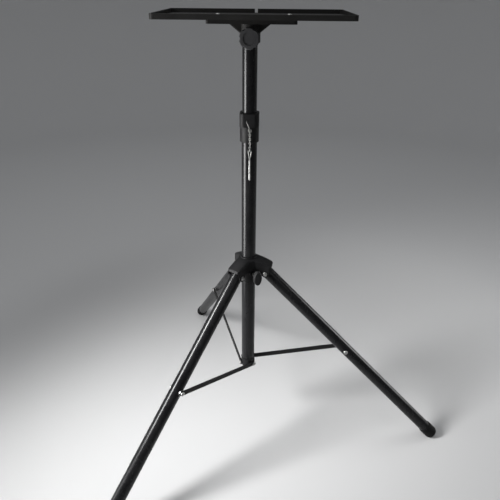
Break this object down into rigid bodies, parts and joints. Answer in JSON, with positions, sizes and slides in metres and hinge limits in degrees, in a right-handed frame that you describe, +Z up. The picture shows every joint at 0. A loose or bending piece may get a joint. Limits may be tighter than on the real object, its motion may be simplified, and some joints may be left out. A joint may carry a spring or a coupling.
{
  "type": "portable projector stand",
  "caption": "Projector tray on a telescopic round mast with a clamp collar, chained height pin, sliding hub and a folding tripod base with braced tube legs.",
  "frame": {"origin": "on the floor, on the mast's axis", "axes": "+Z up along the mast, +X along the tray's long side to the viewer's right, +Y away from the viewer"},
  "size_m": [0.8793, 0.9368, 1.087],
  "materials": {
    "tube_paint": "gloss black paint",
    "tray_paint": "satin black powder coat",
    "strut_paint": "satin black paint",
    "moulding": "fine-grained black moulding",
    "foot_rubber": "matte",
    "bright_steel": "zinc plated"
  },
  "bodies": {
    "mast": {"lower_tube": "tube_paint", "collar": "moulding", "pin_hook": "bright_steel", "end_plug": "moulding", "strut_pivot_1": "bright_steel", "strut_pivot_2": "bright_steel", "strut_pivot_3": "bright_steel"},
    "upper_mast": {"upper_tube": "tube_paint"},
    "tray": {"tray": "tray_paint", "tray_rim_front": "tray_paint", "tray_rim_back": "tray_paint", "tray_rim_left": "tray_paint", "tray_rim_right": "tray_paint", "under_plate": "tray_paint", "tray_socket": "tray_paint", "gusset_left": "tray_paint", "gusset_right": "tray_paint", "tray_screw_1": "bright_steel", "tray_screw_2": "bright_steel", "tray_screw_3": "bright_steel", "tray_screw_4": "bright_steel"},
    "tray_knob": {"tray_knob": "moulding"},
    "collar_knob": {"collar_knob": "moulding"},
    "hub_knob": {"hub_knob": "moulding"},
    "hub": {"hub": "moulding", "leg_pivot_1": "bright_steel", "leg_pivot_2": "bright_steel", "leg_pivot_3": "bright_steel"},
    "lock_pin": {"pin_chain": "bright_steel", "lock_pin": "bright_steel"},
    "leg_1": {"leg_tube_1": "tube_paint", "leg_foot_1": "foot_rubber", "leg_bolt_1": "bright_steel"},
    "strut_1": {"strut_1": "strut_paint", "strut_nut_1": "bright_steel"},
    "leg_2": {"leg_tube_2": "tube_paint", "leg_foot_2": "foot_rubber", "leg_bolt_2": "bright_steel"},
    "strut_2": {"strut_2": "strut_paint", "strut_nut_2": "bright_steel"},
    "leg_3": {"leg_tube_3": "tube_paint", "leg_foot_3": "foot_rubber", "leg_bolt_3": "bright_steel"},
    "strut_3": {"strut_3": "strut_paint", "strut_nut_3": "bright_steel"}
  },
  "joints": [
    {"name": "hub_slide", "type": "slide", "parent": "mast", "child": "hub", "axis": [0, 0, 1], "range_m": [0, 0.28592]},
    {"name": "leg_fold_1", "type": "hinge", "parent": "hub", "child": "leg_1", "pos_m": [0.04506, -0.00633, 0.49], "axis": [0.1392, 0.9903, 0], "range_deg": [0, 45.35]},
    {"name": "strut_fold_1", "type": "hinge", "parent": "mast", "child": "strut_1", "pos_m": [0.00255, 0.01812, 0.19], "axis": [-0.1392, -0.9903, 0], "range_deg": [0, 63.7]},
    {"name": "leg_fold_2", "type": "hinge", "parent": "hub", "child": "leg_2", "pos_m": [-0.01705, 0.04219, 0.49], "axis": [-0.9272, -0.3746, 0], "range_deg": [0, 45.35]},
    {"name": "strut_fold_2", "type": "hinge", "parent": "mast", "child": "strut_2", "pos_m": [-0.01697, -0.00685, 0.19], "axis": [0.9272, 0.3746, 0], "range_deg": [0, 63.7]},
    {"name": "leg_fold_3", "type": "hinge", "parent": "hub", "child": "leg_3", "pos_m": [-0.02801, -0.03585, 0.49], "axis": [0.788, -0.6157, 0], "range_deg": [0, 45.35]},
    {"name": "strut_fold_3", "type": "hinge", "parent": "mast", "child": "strut_3", "pos_m": [0.01442, -0.01127, 0.19], "axis": [-0.788, 0.6157, 0], "range_deg": [0, 63.7]},
    {"name": "height_slide", "type": "slide", "parent": "mast", "child": "upper_mast", "axis": [0, 0, 1], "range_m": [-0.125, 0.36]},
    {"name": "tray_swivel", "type": "hinge", "parent": "upper_mast", "child": "tray", "pos_m": [0, 0, 1.028], "axis": [0, 0, 1], "continuous": true},
    {"name": "tray_knob_turn", "type": "hinge", "parent": "tray", "child": "tray_knob", "pos_m": [0, -0.027, 1.0395], "axis": [0, -1, 0], "continuous": true},
    {"name": "collar_knob_turn", "type": "hinge", "parent": "mast", "child": "collar_knob", "pos_m": [0.00504, 0.02856, 0.846], "axis": [0.1736, 0.9848, 0], "continuous": true},
    {"name": "hub_knob_turn", "type": "hinge", "parent": "hub", "child": "hub_knob", "pos_m": [0.01333, -0.02405, 0.489], "axis": [0.4848, -0.8746, 0], "continuous": true},
    {"name": "pin_swing", "type": "hinge", "parent": "mast", "child": "lock_pin", "pos_m": [0.0024, -0.036, 0.856], "axis": [0, -1, 0], "range_deg": [-50, 50]}
  ],
  "couplings": [
    {"joint": "leg_fold_1", "follows": "hub_slide", "rad_per_m": 2.7652},
    {"joint": "strut_fold_1", "follows": "hub_slide", "rad_per_m": 3.8854},
    {"joint": "leg_fold_2", "follows": "hub_slide", "rad_per_m": 2.7652},
    {"joint": "strut_fold_2", "follows": "hub_slide", "rad_per_m": 3.8854},
    {"joint": "leg_fold_3", "follows": "hub_slide", "rad_per_m": 2.7652},
    {"joint": "strut_fold_3", "follows": "hub_slide", "rad_per_m": 3.8854}
  ]
}
